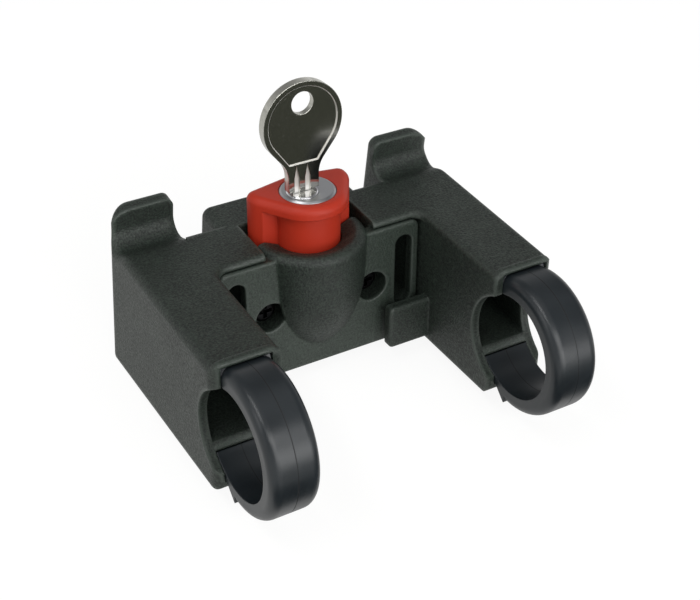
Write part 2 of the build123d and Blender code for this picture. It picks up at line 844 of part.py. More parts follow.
# Key
neck_strip = 0.2
with BuildPart() as key:
    with BuildSketch(key_side) as key_outline:
        with Locations((0, key_bow_centre)):
            Circle(key_bow_radius)
        with Locations((0, key_neck_s)):
            Rectangle(2 * key_shank_half_width, neck_strip, align=(Align.CENTER, Align.MIN))
        make_hull()
        with Locations((0, key_neck_s)):
            Rectangle(
                2 * key_shank_half_width,
                key_neck_s - key_shank_end,
                align=(Align.CENTER, Align.MAX),
            )
        neck_corners = key_outline.vertices().filter_by_position(
            Axis.Y, key_neck_s - neck_strip / 2, key_neck_s + neck_strip / 2
        )
        fillet(neck_corners, key_neck_radius)
        with Locations((0, key_hole_s)):
            Circle(key_hole_radius, mode=Mode.SUBTRACT)
    extrude(amount=key_thickness / 2, both=True)
    with BuildSketch(key_side) as blade_outline:
        with Locations((0, key_shank_end)):
            Rectangle(
                2 * blade_half_width,
                key_shank_end - blade_tip,
                align=(Align.CENTER, Align.MAX),
            )
        chamfer(blade_outline.vertices().group_by(Axis.Y)[0], blade_tip_chamfer)
    extrude(amount=blade_thickness / 2, both=True)
    for face in (-1, 1):
        # Sunk panel of the bow
        with BuildSketch(key_side.offset(face * key_thickness / 2)):
            with Locations((0, key_bow_centre)):
                Circle(key_bow_radius - key_panel_margin)
            with Locations((0, key_panel_bottom)):
                Rectangle(2 * key_panel_half_width, neck_strip, align=(Align.CENTER, Align.MIN))
            make_hull()
        extrude(amount=-face * key_panel_depth, mode=Mode.SUBTRACT)
        # Milled grooves of the shank and the blade, each ending in a point
        with BuildSketch(key_side.offset(face * key_groove_floor)):
            for groove_x in (key_groove_shift - key_groove_x, key_groove_shift + key_groove_x):
                with BuildLine():
                    Polyline(
                        (groove_x - key_groove_width / 2, blade_tip),
                        (groove_x - key_groove_width / 2, key_groove_shoulder),
                        (groove_x, key_groove_point),
                        (groove_x + key_groove_width / 2, key_groove_shoulder),
                        (groove_x + key_groove_width / 2, blade_tip),
                        close=True,
                    )
                make_face()
        extrude(amount=face * (key_thickness / 2 - key_groove_floor), mode=Mode.SUBTRACT)
save(key.part, "key")

# Clamp bands with their screws, washers and nuts
strap_drop = hollow_ceiling + strap_ceiling_gap
head_seat_y = counterbore_floor_y + washer_thickness
nut_corner_radius = nut_across_flats / 2 / cos(radians(30))
tongue_middle_angle = (tongue_taper_end + tongue_tip_angle) / 2
tongue_inner_angle = (tongue_taper_start + tongue_tip_angle) / 2
for hand, clamp_side in (("left", -clamp_x), ("right", clamp_x)):
    with BuildPart() as clamp_band:
        # Ring over the handlebar, from the mouth round the rear to the tongue
        ring_start = Plane(
            origin=(clamp_side, 0, 0),
            x_dir=(1, 0, 0),
            z_dir=(0, -sin(radians(band_entry_angle)), cos(radians(band_entry_angle))),
        )
        with BuildSketch(ring_start) as band_section:
            with Locations((0, bar_radius)):
                Rectangle(band_width, band_thickness, align=(Align.CENTER, Align.MIN))
            fillet(band_section.vertices().group_by(Axis.Y)[-1], band_edge_radius)
        revolve(axis=Axis.X, revolution_arc=tongue_taper_start - band_entry_angle)
        with BuildSketch(Plane.YZ.offset(clamp_side)):
            # Strap that runs forward under the arm's ceiling to the lug
            with BuildLine():
                Polyline(
                    on_circle(bar_radius, band_entry_angle),
                    on_circle(ring_radius, band_entry_angle),
                    (strap_bend_y, top_z(strap_bend_y) - strap_drop),
                    (lug_front_y, top_z(lug_front_y) - strap_drop),
                    (lug_front_y, lug_bottom_z),
                    (lug_rear_y, lug_bottom_z),
                    (lug_rear_y, top_z(lug_rear_y) - strap_drop - strap_thickness),
                    (strap_bend_y, top_z(strap_bend_y) - strap_drop - strap_thickness),
                    close=True,
                )
            make_face()
            # Tongue that hooks into the lip under the handlebar
            with BuildLine():
                ThreePointArc(
                    on_circle(bar_radius, tongue_taper_start),
                    on_circle(bar_radius, tongue_inner_angle),
                    on_circle(bar_radius, tongue_tip_angle),
                )
                Line(
                    on_circle(bar_radius, tongue_tip_angle),
                    on_circle(tongue_radius, tongue_tip_angle),
                )
                ThreePointArc(
                    on_circle(tongue_radius, tongue_tip_angle),
                    on_circle(tongue_radius, tongue_middle_angle),
                    on_circle(tongue_radius, tongue_taper_end),
                )
                Polyline(
                    on_circle(tongue_radius, tongue_taper_end),
                    on_circle(ring_radius, tongue_taper_start),
                    on_circle(bar_radius, tongue_taper_start),
                )
            make_face()
        extrude(amount=band_width / 2, both=True)
        # Hole for the screw and pocket for the nut, open below
        with BuildSketch(at_depth(lug_front_y)):
            with Locations((clamp_side, clamp_screw_z)):
                Circle(screw_hole_radius)
        extrude(amount=lug_front_y - lug_rear_y, mode=Mode.SUBTRACT)
        with BuildSketch(at_depth(lug_front_y - nut_wall)):
            with Locations((clamp_side, lug_bottom_z)):
                Rectangle(
                    nut_across_flats + 2 * nut_clearance,
                    clamp_screw_z + nut_corner_radius + nut_clearance - lug_bottom_z,
                    align=(Align.CENTER, Align.MIN),
                )
        extrude(amount=nut_thickness + 2 * nut_clearance, mode=Mode.SUBTRACT)
    save(clamp_band.part, f"clamp_band_{hand}")

    with BuildPart() as clamp_screw:
        with BuildSketch(at_depth(head_seat_y)):
            with Locations((clamp_side, clamp_screw_z)):
                Circle(clamp_screw_radius)
        extrude(amount=clamp_screw_length)
        with BuildSketch(at_depth(head_seat_y)):
            with Locations((clamp_side, clamp_screw_z)):
                Circle(clamp_head_radius)
        extrude(amount=-clamp_head_height)
        fillet(clamp_screw.edges().sort_by(Axis.Y)[-1], clamp_head_edge_radius)
        with BuildSketch(at_depth(head_seat_y + clamp_head_height)):
            with Locations((clamp_side, clamp_screw_z)):
                RegularPolygon(clamp_socket_radius, 6)
        extrude(amount=clamp_socket_depth, mode=Mode.SUBTRACT)
    save(clamp_screw.part, f"clamp_screw_{hand}")

    with BuildPart() as clamp_washer:
        with BuildSketch(at_depth(counterbore_floor_y)):
            with Locations((clamp_side, clamp_screw_z)):
                Circle(washer_radius)
                Circle(screw_hole_radius, mode=Mode.SUBTRACT)
        extrude(amount=-washer_thickness)
    save(clamp_washer.part, f"clamp_washer_{hand}")

    with BuildPart() as clamp_nut:
        with BuildSketch(at_depth(nut_front_y)):
            with Locations((clamp_side, clamp_screw_z)):
                RegularPolygon(nut_across_flats / 2, 6, major_radius=False, rotation=30)
                Circle(clamp_screw_radius + thread_clearance, mode=Mode.SUBTRACT)
        extrude(amount=nut_thickness)
    save(clamp_nut.part, f"clamp_nut_{hand}")
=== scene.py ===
import bmesh
import bpy
import json
import math
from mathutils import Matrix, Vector


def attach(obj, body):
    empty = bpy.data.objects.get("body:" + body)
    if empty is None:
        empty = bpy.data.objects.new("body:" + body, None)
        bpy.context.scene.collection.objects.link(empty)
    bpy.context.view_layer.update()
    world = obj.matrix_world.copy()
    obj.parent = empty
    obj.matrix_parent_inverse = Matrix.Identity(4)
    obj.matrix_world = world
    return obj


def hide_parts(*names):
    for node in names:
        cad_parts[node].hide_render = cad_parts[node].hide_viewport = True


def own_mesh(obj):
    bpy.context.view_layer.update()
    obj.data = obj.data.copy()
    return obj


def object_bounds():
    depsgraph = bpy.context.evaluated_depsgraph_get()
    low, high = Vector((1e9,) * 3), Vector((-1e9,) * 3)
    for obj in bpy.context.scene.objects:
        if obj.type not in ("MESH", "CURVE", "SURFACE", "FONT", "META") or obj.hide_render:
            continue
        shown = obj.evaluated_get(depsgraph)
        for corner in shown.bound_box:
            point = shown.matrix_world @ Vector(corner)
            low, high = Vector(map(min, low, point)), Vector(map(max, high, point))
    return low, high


# Looks of a handlebar bag mount: black moulded housing, clamp bands, red locking button, lock
# and key. Everything is in metres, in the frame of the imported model: +X along the handlebar,
# +Y forward, +Z up.

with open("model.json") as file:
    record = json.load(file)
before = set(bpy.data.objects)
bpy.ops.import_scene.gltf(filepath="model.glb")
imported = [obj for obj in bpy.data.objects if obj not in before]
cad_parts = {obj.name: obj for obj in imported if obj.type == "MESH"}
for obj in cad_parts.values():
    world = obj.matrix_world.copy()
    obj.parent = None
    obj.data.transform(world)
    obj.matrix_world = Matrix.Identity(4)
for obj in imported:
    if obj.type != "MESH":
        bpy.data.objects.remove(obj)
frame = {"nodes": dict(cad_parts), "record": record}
cad_low, cad_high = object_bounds()
nodes = frame["nodes"]

MM = 0.001

# Camera: the photograph's view, as a real lens on a 36 mm wide sensor
CAMERA_PLACE = (-0.12694, -0.16308, 0.20191)
CAMERA_TURN_DEG = (48.6751, -4.8653, -30.0976)
LENS_MM = 72.116
SENSOR_MM = 36.0

# Floor under the lowest point: pale paper, and the share of a white glow that the camera and
# the reflections see in it
FLOOR_HALF = 4.0
FLOOR_PAPER = "CFCFCC"
FLOOR_GLOW = 1.12
FLOOR_GLOW_SEEN = 0.80
FLOOR_GLOW_MIRRORED = 0.47

# Room: brightness in reflections at the horizon and overhead, the heights between which it
# falls off (of 1, straight up), and the even fill that lights the part
ROOM_HORIZON, ROOM_OVERHEAD = 0.9, 0.2
ROOM_LOW, ROOM_HIGH = 0.05, 0.6
ROOM_FILL = 0.35

# Softboxes: name, place, width and height in metres, power in watts
LAMP_AIM = Vector((0.0, 0.03, 0.0))
LAMPS = (
    ("left_softbox", (-0.80, 0.00, 0.40), 0.30, 0.30, 0.75),
    ("edge_strip", (-0.43, 0.02, 0.71), 0.60, 0.12, 1.9),
    ("top_softbox", (0.05, 0.00, 0.80), 0.70, 0.70, 0.8),
    ("front_softbox", (0.00, -0.78, 0.30), 0.50, 0.50, 2.2),
    ("rim_softbox", (-0.08, -0.77, 0.73), 1.10, 0.22, 4.0),
    ("low_strip", (0.34, -0.74, 0.15), 0.30, 0.32, 1.3),
)

# Dark cards just above the floor, seen only in reflections: painted dark reflections, the band one
# a painted shadow of the part. Name, place, width and depth in metres, colour
CARD_LIFT = 1.0 * MM
CARDS = (
    ("key_dark_reflection_card", (0.090, -0.140), 0.18, 0.20, "4B4D46"),
    ("band_shadow_reflection_card", (0.020, -0.042), 0.17, 0.040, "1C1C1A"),
)

# Noise textures: nearly all values lie between these two
NOISE_LOW, NOISE_HIGH = 0.3, 0.7

# Rays that the softened edges and the rubbed edges with their painted highlight are worked out
# with
EDGE_RAYS = 6
HOUSING_EDGE_RAYS = 8
STOCK_RAYS = 8

# Depth of the grain on the smooth mouldings and the metals
FINE_GRAIN_DEPTH = 0.03 * MM

# Housing: grain, clouds of tone, and the stock behind a surface that counts as an edge (rubbed,
# with a painted highlight)
HOUSING_GRAIN_MM = 0.45
HOUSING_GRAIN_DEPTH = 0.18 * MM
HOUSING_CLOUD_MM = 9.0
HOUSING_CLOUD_SHARE = 0.12
EDGE_STOCK = 1.1 * MM
STOCK_WHOLE, STOCK_WORN_AND_LIT = 0.92, 0.58

# Long inner edge of each arm, under the housing's sloping top, and how far its rounding goes
ARM_INNER = 25.4 * MM
ARM_TOP = 15.65 * MM
ARM_TOP_FALL = math.tan(math.radians(5.9))
ARM_ROUNDING = 2.4 * MM
OTHER_ROUNDING = 0.8 * MM
ARM_EDGE_NEAR, ARM_EDGE_FAR = 2.0 * MM, 4.0 * MM

# Clamp bands: middle of each one from the middle of the part, and its parting line
BAND_MIDDLE = 33.0 * MM
PARTING_CORE, PARTING_FADE = 0.06 * MM, 0.16 * MM
PARTING_SHARE = 0.75

# Lean of the lock's axis, and how near the springs' points must be to be merged into one
LEAN = math.radians(9.0)
MERGE_DISTANCE = 0.001 * MM

# Key: its directions, which the lock and the rear cover share, and its start on the plug's face
KEY_ACROSS = (1.0, 0.0, 0.0)
KEY_UP = (0.0, math.sin(LEAN), math.cos(LEAN))
KEY_THROUGH = (0.0, math.cos(LEAN), -math.sin(LEAN))
KEY_START = (-1.7 * MM, 27.234 * MM, 39.027 * MM)

# Key's sunk panel: a round top and straight flanks down to a narrow foot
PANEL_RADIUS = 8.15 * MM
PANEL_CENTRE = 16.7 * MM
PANEL_FOOT = 7.4 * MM
PANEL_FOOT_HALF = 3.4 * MM
PANEL_DROP = PANEL_CENTRE - PANEL_FOOT
PANEL_SLOPE = (math.asin(PANEL_RADIUS / math.hypot(PANEL_FOOT_HALF, PANEL_DROP))
               - math.atan2(PANEL_FOOT_HALF, PANEL_DROP))
PANEL_FLANK = (math.cos(PANEL_SLOPE), -math.sin(PANEL_SLOPE), 0.0)
PANEL_TANGENT = PANEL_CENTRE - PANEL_RADIUS * math.sin(PANEL_SLOPE)

# Key's coined line beside that outline, drawn as a painted highlight, and the height of its faces
# over its middle plane
COINED_CORE, COINED_FADE = 0.03 * MM, 0.14 * MM
KEY_FACE = 0.65 * MM

# Flat face of the rear cover, along KEY_THROUGH, how far from it the surface still counts, and the
# painted light that lightens it
COVER_FACE = 33.45 * MM
COVER_FACE_NEAR, COVER_FACE_FAR = 0.2 * MM, 0.9 * MM
COVER_FACE_PAINTED_LIGHT = 0.40


def linear(hex_colour):
    """One sRGB hex colour as the linear RGBA that shader sockets take."""
    channels = [int(hex_colour[i:i + 2], 16) / 255 for i in (0, 2, 4)]
    rgb = [c / 12.92 if c <= 0.04045 else ((c + 0.055) / 1.055) ** 2.4 for c in channels]
    return (*rgb, 1.0)


def per_mm(size_mm):
    """Texture scale whose features are about size_mm across."""
    return 1.0 / (size_mm * MM)


def add(tree, kind, inputs=None, **settings):
    """Adds one node, sets its properties and sets or links its inputs."""
    node = tree.nodes.new(kind)
    for name, value in settings.items():
        setattr(node, name, value)
    for socket, value in (inputs or {}).items():
        if isinstance(value, bpy.types.NodeSocket):
            tree.links.new(value, node.inputs[socket])
        else:
            node.inputs[socket].default_value = value
    return node


def start_material(name):
    """An empty node material with its output; returns material, tree and output node."""
    material = bpy.data.materials.new(name)
    material.use_nodes = True
    tree = material.node_tree
    tree.nodes.clear()
    output = add(tree, "ShaderNodeOutputMaterial")
    return material, tree, output


def grained_normal(tree, height, strength, depth, rounding, rays):
    """Surface normal with a grain of the given depth, on edges softened by rounding."""
    soft_edge = add(tree, "ShaderNodeBevel", {"Radius": rounding}, samples=rays)
    grained = add(tree, "ShaderNodeBump", {
        "Height": height, "Strength": strength, "Distance": depth,
        "Normal": soft_edge.outputs["Normal"]})
    return grained.outputs["Normal"]


def moulded_nylon(name, painted_face_light):
    """Glass-filled nylon from a spark-eroded mould: near black, satin, with an even grain.

    painted_face_light lightens the rear cover's flat face with painted light, so that it looks
    better lit than the boss on it.
    """
    material, tree, output = start_material(name)
    place = add(tree, "ShaderNodeTexCoord").outputs["Object"]
    # The real grain is finer than 0.2 mm; it is drawn 0.45 mm across so that it shows
    grain = add(tree, "ShaderNodeTexNoise", {
        "Vector": place, "Scale": per_mm(HOUSING_GRAIN_MM), "Detail": 2.0, "Roughness": 0.6})
    patch = add(tree, "ShaderNodeTexNoise", {
        "Vector": place, "Scale": per_mm(HOUSING_CLOUD_MM), "Detail": 3.0, "Roughness": 0.55})
    speck = add(tree, "ShaderNodeMapRange", {
        "Value": grain.outputs["Fac"], "From Min": 0.32, "From Max": 0.68,
        "To Min": 0.0, "To Max": 1.0})
    cloud = add(tree, "ShaderNodeMapRange", {
        "Value": patch.outputs["Fac"], "From Min": NOISE_LOW, "From Max": NOISE_HIGH,
        "To Min": -HOUSING_CLOUD_SHARE, "To Max": HOUSING_CLOUD_SHARE})
    shade = add(tree, "ShaderNodeMath", {
        0: speck.outputs["Result"], 1: cloud.outputs["Result"]}, operation="ADD", use_clamp=True)
    # Painted light: the rear cover's flat face is made lighter than the boss on it
    if painted_face_light:
        through = add(tree, "ShaderNodeVectorMath", {
            0: place, 1: KEY_THROUGH}, operation="DOT_PRODUCT")
        off_face = add(tree, "ShaderNodeMath", {
            0: through.outputs["Value"], 1: COVER_FACE}, operation="SUBTRACT")
        beside_face = add(tree, "ShaderNodeMath", {0: off_face.outputs[0]}, operation="ABSOLUTE")
        painted_lift = add(tree, "ShaderNodeMapRange", {
            "Value": beside_face.outputs[0],
            "From Min": COVER_FACE_NEAR, "From Max": COVER_FACE_FAR,
            "To Min": painted_face_light, "To Max": 0.0})
        shade = add(tree, "ShaderNodeMath", {
            0: shade.outputs[0], 1: painted_lift.outputs["Result"]}, operation="ADD")
    tone = add(tree, "ShaderNodeMix", {
        "Factor": shade.outputs[0], "A": linear("0A0F0C"), "B": linear("2B342D")},
        data_type="RGBA", clamp_factor=False)
    gloss = add(tree, "ShaderNodeMapRange", {
        "Value": shade.outputs[0], "From Min": 0.0, "From Max": 1.0,
        "To Min": 0.60, "To Max": 0.44})
    # Outer edges are rubbed smoother, and a painted highlight makes them lighter: thin stock
    # behind the surface marks them
    stock = add(tree, "ShaderNodeAmbientOcclusion", {"Distance": EDGE_STOCK},
                inside=True, only_local=True, samples=STOCK_RAYS)
    edge_wear_and_highlight = add(tree, "ShaderNodeMapRange", {
        "Value": stock.outputs["AO"], "From Min": STOCK_WHOLE, "From Max": STOCK_WORN_AND_LIT,
        "To Min": 0.0, "To Max": 1.0})
    painted_edge_highlight_tone = add(tree, "ShaderNodeMix", {
        "Factor": edge_wear_and_highlight.outputs["Result"], "A": tone.outputs["Result"], "B": linear("39413B")},
        data_type="RGBA")
    worn_gloss = add(tree, "ShaderNodeMix", {
        "Factor": edge_wear_and_highlight.outputs["Result"], "A": gloss.outputs["Result"], "B": 0.36},
        data_type="FLOAT")
    # The arms' long inner edges are rounder than the rest
    axes = add(tree, "ShaderNodeSeparateXYZ", {"Vector": place})
    aside = add(tree, "ShaderNodeMath", {0: axes.outputs["X"]}, operation="ABSOLUTE")
    across = add(tree, "ShaderNodeMath", {
        0: aside.outputs[0], 1: ARM_INNER}, operation="SUBTRACT")
    level = add(tree, "ShaderNodeMath", {
        0: axes.outputs["Y"], 1: ARM_TOP_FALL, 2: axes.outputs["Z"]}, operation="MULTIPLY_ADD")
    below = add(tree, "ShaderNodeMath", {0: level.outputs[0], 1: ARM_TOP}, operation="SUBTRACT")
    off_edge = add(tree, "ShaderNodeCombineXYZ", {
        "X": across.outputs[0], "Y": below.outputs[0]})
    distance = add(tree, "ShaderNodeVectorMath", {
        0: off_edge.outputs["Vector"]}, operation="LENGTH")
    rounding = add(tree, "ShaderNodeMapRange", {
        "Value": distance.outputs["Value"], "From Min": ARM_EDGE_NEAR, "From Max": ARM_EDGE_FAR,
        "To Min": ARM_ROUNDING, "To Max": OTHER_ROUNDING})
    normal = grained_normal(
        tree, grain.outputs["Fac"], 1.0, HOUSING_GRAIN_DEPTH, rounding.outputs["Result"],
        HOUSING_EDGE_RAYS)
    surface = add(tree, "ShaderNodeBsdfPrincipled", {
        "Base Color": painted_edge_highlight_tone.outputs["Result"], "Roughness": worn_gloss.outputs["Result"],
        "Normal": normal, "IOR": 1.5, "Specular IOR Level": 0.42})
    tree.links.new(surface.outputs["BSDF"], output.inputs["Surface"])
    return material


def smooth_nylon():
    """Unfilled nylon from a smooth mould: blue black, soft highlights, a fine parting line."""
    material, tree, output = start_material("smooth_nylon")
    place = add(tree, "ShaderNodeTexCoord").outputs["Object"]
    grain = add(tree, "ShaderNodeTexNoise", {
        "Vector": place, "Scale": per_mm(0.3), "Detail": 2.0, "Roughness": 0.5})
    patch = add(tree, "ShaderNodeTexNoise", {
        "Vector": place, "Scale": per_mm(7.0), "Detail": 2.0, "Roughness": 0.5})
    sideways = add(tree, "ShaderNodeSeparateXYZ", {"Vector": place})
    from_middle = add(tree, "ShaderNodeMath", {0: sideways.outputs["X"]}, operation="ABSOLUTE")
    from_line = add(tree, "ShaderNodeMath", {
        0: from_middle.outputs[0], 1: BAND_MIDDLE}, operation="SUBTRACT")
    beside_line = add(tree, "ShaderNodeMath", {0: from_line.outputs[0]}, operation="ABSOLUTE")
    # The real line is about 0.1 mm wide; it is drawn about 0.2 mm wide so that it shows
    parting = add(tree, "ShaderNodeMapRange", {
        "Value": beside_line.outputs[0], "From Min": PARTING_CORE, "From Max": PARTING_FADE,
        "To Min": PARTING_SHARE, "To Max": 0.0})
    tone = add(tree, "ShaderNodeMix", {
        "Factor": patch.outputs["Fac"], "A": linear("161A1D"), "B": linear("1E2428")},
        data_type="RGBA")
    lined = add(tree, "ShaderNodeMix", {
        "Factor": parting.outputs["Result"], "A": tone.outputs["Result"], "B": linear("050506")},
        data_type="RGBA")
    gloss = add(tree, "ShaderNodeMapRange", {
        "Value": patch.outputs["Fac"], "From Min": NOISE_LOW, "From Max": NOISE_HIGH,
        "To Min": 0.30, "To Max": 0.38})
    matt_line = add(tree, "ShaderNodeMath", {
        0: gloss.outputs["Result"], 1: parting.outputs["Result"]}, operation="MAXIMUM")
    normal = grained_normal(
        tree, grain.outputs["Fac"], 0.12, FINE_GRAIN_DEPTH, 0.35 * MM, EDGE_RAYS)
    surface = add(tree, "ShaderNodeBsdfPrincipled", {
        "Base Color": lined.outputs["Result"], "Roughness": matt_line.outputs[0],
        "Normal": normal, "IOR": 1.5, "Specular IOR Level": 0.45})
    tree.links.new(surface.outputs["BSDF"], output.inputs["Surface"])
    return material


def red_plastic():
    """Red moulded ABS with a satin skin: an even warm red, a little softer at its edges."""
    material, tree, output = start_material("red_abs")
    place = add(tree, "ShaderNodeTexCoord").outputs["Object"]
    grain = add(tree, "ShaderNodeTexNoise", {
        "Vector": place, "Scale": per_mm(0.35), "Detail": 2.0, "Roughness": 0.5})
    patch = add(tree, "ShaderNodeTexNoise", {
        "Vector": place, "Scale": per_mm(6.0), "Detail": 2.0, "Roughness": 0.5})
    tone = add(tree, "ShaderNodeMix", {
        "Factor": patch.outputs["Fac"], "A": linear("A02A18"), "B": linear("AA2F1C")},
        data_type="RGBA")
    normal = grained_normal(
        tree, grain.outputs["Fac"], 0.10, FINE_GRAIN_DEPTH, 0.35 * MM, EDGE_RAYS)
    surface = add(tree, "ShaderNodeBsdfPrincipled", {
        "Base Color": tone.outputs["Result"], "Roughness": 0.46,
        "Normal": normal, "IOR": 1.5, "Specular IOR Level": 0.24})
    tree.links.new(surface.outputs["BSDF"], output.inputs["Surface"])
    return material


def metal(name, tones, patch_mm, roughness, grain_mm, grain_strength, edge_mm):
    """A bare or plated metal: tone and gloss change a little over patch_mm, with a fine grain."""
    material, tree, output = start_material(name)
    place = add(tree, "ShaderNodeTexCoord").outputs["Object"]
    patch = add(tree, "ShaderNodeTexNoise", {
        "Vector": place, "Scale": per_mm(patch_mm), "Detail": 3.0, "Roughness": 0.55})
    grain = add(tree, "ShaderNodeTexNoise", {
        "Vector": place, "Scale": per_mm(grain_mm), "Detail": 2.0, "Roughness": 0.6})
    tone = add(tree, "ShaderNodeMix", {
        "Factor": patch.outputs["Fac"], "A": linear(tones[0]), "B": linear(tones[1])},
        data_type="RGBA")
    gloss = add(tree, "ShaderNodeMapRange", {
        "Value": patch.outputs["Fac"], "From Min": NOISE_LOW, "From Max": NOISE_HIGH,
        "To Min": roughness[0], "To Max": roughness[1]})
    normal = grained_normal(
        tree, grain.outputs["Fac"], grain_strength, FINE_GRAIN_DEPTH, edge_mm * MM, EDGE_RAYS)
    surface = add(tree, "ShaderNodeBsdfPrincipled", {
        "Base Color": tone.outputs["Result"], "Roughness": gloss.outputs["Result"],
        "Normal": normal, "Metallic": 1.0})
    tree.links.new(surface.outputs["BSDF"], output.inputs["Surface"])
    return material


def key_nickel():
    """Nickel plate on a stamped key: mirror flat, a painted highlight on the coined line round the
    panel, lighter flutes.
    """
    material, tree, output = start_material("nickel_plate")
    place = add(tree, "ShaderNodeTexCoord").outputs["Object"]
    across = add(tree, "ShaderNodeVectorMath", {0: place, 1: KEY_ACROSS}, operation="DOT_PRODUCT")
    up = add(tree, "ShaderNodeVectorMath", {0: place, 1: KEY_UP}, operation="DOT_PRODUCT")
    through = add(tree, "ShaderNodeVectorMath", {
        0: place, 1: KEY_THROUGH}, operation="DOT_PRODUCT")
    sideways = add(tree, "ShaderNodeMath", {
        0: across.outputs["Value"], 1: KEY_START[0]}, operation="SUBTRACT")
    side = add(tree, "ShaderNodeMath", {0: sideways.outputs[0]}, operation="ABSOLUTE")
    height = add(tree, "ShaderNodeMath", {
        0: up.outputs["Value"], 1: KEY_START[1]}, operation="SUBTRACT")
    depth = add(tree, "ShaderNodeMath", {
        0: through.outputs["Value"], 1: KEY_START[2]}, operation="SUBTRACT")
    from_middle = add(tree, "ShaderNodeMath", {0: depth.outputs[0]}, operation="ABSOLUTE")
    # Distance from the panel's outline: its round top, its two straight flanks and its foot
    above = add(tree, "ShaderNodeMath", {
        0: height.outputs[0], 1: PANEL_CENTRE}, operation="SUBTRACT")
    spot = add(tree, "ShaderNodeCombineXYZ", {"X": side.outputs[0], "Y": above.outputs[0]})
    reach = add(tree, "ShaderNodeVectorMath", {0: spot.outputs["Vector"]}, operation="LENGTH")
    off_round = add(tree, "ShaderNodeMath", {
        0: reach.outputs["Value"], 1: PANEL_RADIUS}, operation="SUBTRACT")
    flank = add(tree, "ShaderNodeVectorMath", {
        0: spot.outputs["Vector"], 1: PANEL_FLANK}, operation="DOT_PRODUCT")
    off_flank = add(tree, "ShaderNodeMath", {
        0: flank.outputs["Value"], 1: PANEL_RADIUS}, operation="SUBTRACT")
    off_foot = add(tree, "ShaderNodeMath", {
        0: PANEL_FOOT, 1: height.outputs[0]}, operation="SUBTRACT")
    off_low = add(tree, "ShaderNodeMath", {
        0: off_flank.outputs[0], 1: off_foot.outputs[0]}, operation="MAXIMUM")
    off_top = add(tree, "ShaderNodeMath", {
        0: height.outputs[0], 1: PANEL_TANGENT}, operation="SUBTRACT")
    off_wedge = add(tree, "ShaderNodeMath", {
        0: off_low.outputs[0], 1: off_top.outputs[0]}, operation="MAXIMUM")
    off_panel = add(tree, "ShaderNodeMath", {
        0: off_round.outputs[0], 1: off_wedge.outputs[0]}, operation="MINIMUM")
    beside = add(tree, "ShaderNodeMath", {0: off_panel.outputs[0]}, operation="ABSOLUTE")
    # Painted highlight: the coined line is drawn lighter and rougher, in place of the light its
    # edges catch
    coined = add(tree, "ShaderNodeMapRange", {
        "Value": beside.outputs[0], "From Min": COINED_CORE, "From Max": COINED_FADE,
        "To Min": 1.0, "To Max": 0.0})
    # Flutes: everything cut below the faces of the shank
    sunk = add(tree, "ShaderNodeMath", {
        0: from_middle.outputs[0], 1: KEY_FACE}, operation="LESS_THAN")
    shank = add(tree, "ShaderNodeMath", {
        0: height.outputs[0], 1: PANEL_FOOT}, operation="LESS_THAN")
    milled = add(tree, "ShaderNodeMath", {
        0: sunk.outputs[0], 1: shank.outputs[0]}, operation="MULTIPLY")
    painted_line_and_flutes = add(tree, "ShaderNodeMath", {
        0: coined.outputs["Result"], 1: milled.outputs[0]}, operation="MAXIMUM")
    specks = add(tree, "ShaderNodeTexNoise", {
        "Vector": place, "Scale": per_mm(0.5), "Detail": 3.0, "Roughness": 0.7})
    scuffs = add(tree, "ShaderNodeMapRange", {
        "Value": specks.outputs["Fac"], "From Min": 0.62, "From Max": 0.74,
        "To Min": 0.09, "To Max": 0.22})
    gloss = add(tree, "ShaderNodeMix", {
        "Factor": painted_line_and_flutes.outputs[0], "A": scuffs.outputs["Result"], "B": 0.42},
        data_type="FLOAT")
    flat = add(tree, "ShaderNodeMix", {
        "Factor": specks.outputs["Fac"], "A": linear("9C9B94"), "B": linear("C6C5BD")},
        data_type="RGBA")
    tone = add(tree, "ShaderNodeMix", {
        "Factor": painted_line_and_flutes.outputs[0], "A": flat.outputs["Result"], "B": linear("E0DED9")},
        data_type="RGBA")
    normal = grained_normal(tree, specks.outputs["Fac"], 0.05, 0.02 * MM, 0.2 * MM, EDGE_RAYS)
    surface = add(tree, "ShaderNodeBsdfPrincipled", {
        "Base Color": tone.outputs["Result"], "Roughness": gloss.outputs["Result"],
        "Normal": normal, "Metallic": 1.0})
    tree.links.new(surface.outputs["BSDF"], output.inputs["Surface"])
    return material


finishes = {
    "housing_nylon": moulded_nylon("moulded_nylon", 0.0),
    "band_nylon": smooth_nylon(),
    "button_plastic": red_plastic(),
    # Die-cast zinc, finely blasted: a flat satin grey
    "lock_zinc": metal(
        "die_cast_zinc", ("A2A3A6", "ADAEB1"), patch_mm=3.0, roughness=(0.30, 0.36),
        grain_mm=0.25, grain_strength=0.06, edge_mm=0.45),
    # Chrome plate on a turned plug: mirror bright, strong dark and light reflections
    "lock_chrome": metal(
        "chrome_plate", ("D4D4D6", "DCDCDD"), patch_mm=3.0, roughness=(0.06, 0.10),
        grain_mm=0.5, grain_strength=0.02, edge_mm=0.12),
    "key_nickel": key_nickel(),
    # Brass stamped from sheet: a warm yellow with a soft shine
    "wafer_brass": metal(
        "stamped_brass", ("C9A24E", "D3AE5C"), patch_mm=2.0, roughness=(0.28, 0.36),
        grain_mm=0.3, grain_strength=0.08, edge_mm=0.08),
    # Drawn steel wire: a dull mid grey
    "spring_steel": metal(
        "spring_wire", ("8C8C8E", "98989A"), patch_mm=2.0, roughness=(0.28, 0.36),
        grain_mm=0.3, grain_strength=0.08, edge_mm=0.05),
    # Bright zinc plate on steel fasteners: a pale grey with a soft shine
    "zinc_steel": metal(
        "zinc_plated_steel", ("A9ABAE", "B4B6B8"), patch_mm=2.0, roughness=(0.26, 0.36),
        grain_mm=0.3, grain_strength=0.08, edge_mm=0.10),
}

